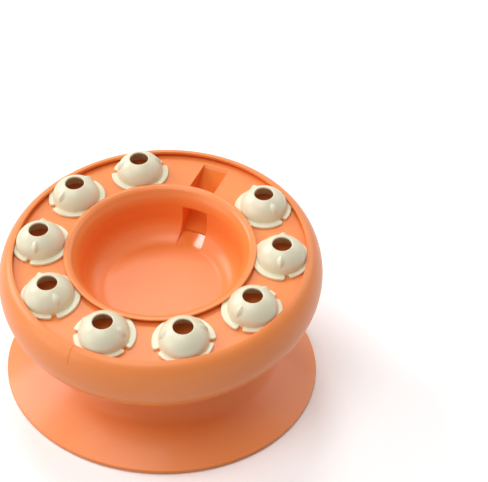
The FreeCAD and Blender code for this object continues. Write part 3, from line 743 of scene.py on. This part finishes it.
# Pan-head screws of zinc-plated steel that hold the mouldings together. The
# plating is cloudy, so its shine varies from place to place.
steel = bpy.data.materials.new("screw_steel")
steel.use_nodes = True
nodes, links = steel.node_tree.nodes, steel.node_tree.links
shader = nodes["Principled BSDF"]
shader.inputs["Metallic"].default_value = 1
where = nodes.new("ShaderNodeTexCoord")
plating = nodes.new("ShaderNodeTexNoise")
plating.inputs["Scale"].default_value = 700
plating.inputs["Detail"].default_value = 3
links.new(where.outputs["Object"], plating.inputs["Vector"])
cloudy = nodes.new("ShaderNodeMapRange")
cloudy.inputs["To Min"].default_value = 0.26
cloudy.inputs["To Max"].default_value = 0.48
links.new(plating.outputs["Fac"], cloudy.inputs["Value"])
links.new(cloudy.outputs["Result"], shader.inputs["Roughness"])
zinc = nodes.new("ShaderNodeMix")
zinc.data_type = "RGBA"
zinc.inputs["A"].default_value = (0.62, 0.61, 0.58, 1)
zinc.inputs["B"].default_value = (0.52, 0.53, 0.54, 1)
links.new(plating.outputs["Fac"], zinc.inputs["Factor"])
links.new(zinc.outputs["Result"], shader.inputs["Base Color"])
for name in ("tray_screws", "collar_screws", "neck_screws", "ring_screws", "chute_screws"):
    refinish(name, steel)


# Plain pale floor that fades into the white of the room, not part of the
# object. It keeps the object's shadow.
def seen_or_mirrored(tree):
    """1 for a ray from the camera or off a gloss, and 0 for light on the object."""
    ray = tree.nodes.new("ShaderNodeLightPath")
    either = tree.nodes.new("ShaderNodeMath")
    either.operation = "MAXIMUM"
    tree.links.new(ray.outputs["Is Camera Ray"], either.inputs[0])
    tree.links.new(ray.outputs["Is Glossy Ray"], either.inputs[1])
    return either.outputs["Value"]


floor_half = 4
floor_mesh = bpy.data.meshes.new("floor")
floor_skin = bmesh.new()
bmesh.ops.create_grid(floor_skin, x_segments=1, y_segments=1, size=floor_half)
floor_skin.to_mesh(floor_mesh)
floor_skin.free()
floor = bpy.data.objects.new("floor", floor_mesh)
bpy.context.scene.collection.objects.link(floor)
paper = bpy.data.materials.new("floor_paper")
paper.use_nodes = True
nodes, links = paper.node_tree.nodes, paper.node_tree.links
nodes.remove(nodes["Principled BSDF"])
tone = nodes.new("ShaderNodeMix")
tone.data_type = "RGBA"
tone.inputs["A"].default_value = (0.62, 0.62, 0.62, 1)
tone.inputs["B"].default_value = (1.20, 1.20, 1.20, 1)
links.new(seen_or_mirrored(paper.node_tree), tone.inputs["Factor"])
paper_face = nodes.new("ShaderNodeBsdfDiffuse")
links.new(tone.outputs["Result"], paper_face.inputs["Color"])
links.new(paper_face.outputs["BSDF"], nodes["Material Output"].inputs["Surface"])
floor_mesh.materials.append(paper)


# White room and five broad, far lamps, for plain soft studio light. What the
# room gives the object is dimmer than what the camera sees of it.
world = bpy.data.worlds.new("room")
bpy.context.scene.world = world
world.use_nodes = True
nodes, links = world.node_tree.nodes, world.node_tree.links
room = nodes["Background"]
level = nodes.new("ShaderNodeMix")
level.inputs["A"].default_value = 0.25
level.inputs["B"].default_value = 1.0
links.new(seen_or_mirrored(world.node_tree), level.inputs["Factor"])
links.new(level.outputs["Result"], room.inputs["Strength"])
room.inputs["Color"].default_value = (1, 1, 1, 1)


def soft_lamp(name, source, strength, spread):
    """A broad far lamp that shines from a direction."""
    lamp = bpy.data.lights.new(name, "SUN")
    lamp.energy = strength
    lamp.angle = math.radians(spread)
    holder = bpy.data.objects.new(name, lamp)
    bpy.context.scene.collection.objects.link(holder)
    holder.matrix_world = Vector(source).to_track_quat("Z", "Y").to_matrix().to_4x4()


soft_lamp("overhead_lamp", (-0.16, -0.36, 0.92), strength=1.00, spread=40)
soft_lamp("side_lamp", (-0.85, 0.00, 0.53), strength=1.18, spread=30)
soft_lamp("low_lamp", (-0.66, -0.70, 0.26), strength=0.58, spread=40)
soft_lamp("back_lamp", (-0.31, 0.375, 0.874), strength=0.48, spread=15)
soft_lamp("far_lamp", (0.32, 0.70, 0.64), strength=0.58, spread=40)


# Camera on a long lens, at the photograph's viewing angle. It is turned a
# little about its own line of sight.
camera = bpy.data.objects.new("camera", bpy.data.cameras.new("camera"))
bpy.context.scene.collection.objects.link(camera)
camera_at = Vector((0.3779, -0.8222, 0.8165))
camera_aim = Vector((0.0553, 0.0594, 0.1300))
camera_roll = math.radians(4.28)
turn = (camera_aim - camera_at).to_track_quat("-Z", "Y").to_matrix().to_4x4()
camera.matrix_world = Matrix.Translation(camera_at) @ turn @ Matrix.Rotation(camera_roll, 4, "Z")
camera.data.lens = 89.59
camera.data.sensor_width = 36
bpy.context.scene.camera = camera
bpy.context.scene.view_settings.view_transform = "Standard"
